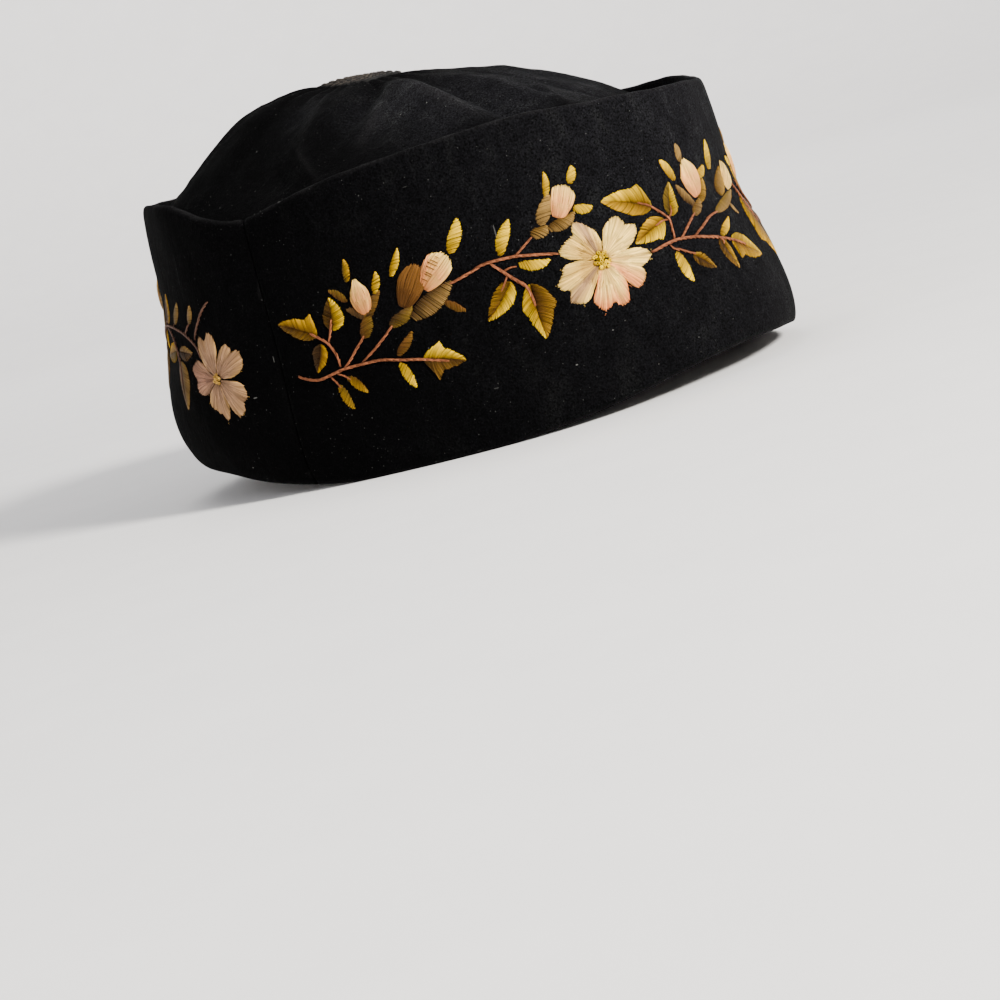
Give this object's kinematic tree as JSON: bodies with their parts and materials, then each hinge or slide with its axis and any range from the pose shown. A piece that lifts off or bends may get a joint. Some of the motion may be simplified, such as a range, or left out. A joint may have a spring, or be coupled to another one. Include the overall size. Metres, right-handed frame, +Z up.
{
  "type": "smoking cap",
  "caption": "Soft velvet smoking cap: upright oval band with side seams, puffed hollow crown and a flat ribbed button.",
  "frame": {"origin": "centre of the bounding box's bottom face, on the surface that the rim rests on", "axes": "+Z up, -Y to the front of the cap, +X to the wearer's left"},
  "size_m": [0.162, 0.1978, 0.1153],
  "materials": {
    "velvet": "matte pile, near black",
    "button_cord": "wound cord, faded black",
    "silk_gold": "satin stitch silk",
    "silk_rose": "satin stitch silk",
    "silk_brown": "satin stitch silk",
    "silk_stem": "stem stitch silk"
  },
  "bodies": {
    "root": {"band_front": "velvet", "band_back": "velvet", "crown": "velvet", "crown_button": "button_cord"}
  },
  "joints": []
}
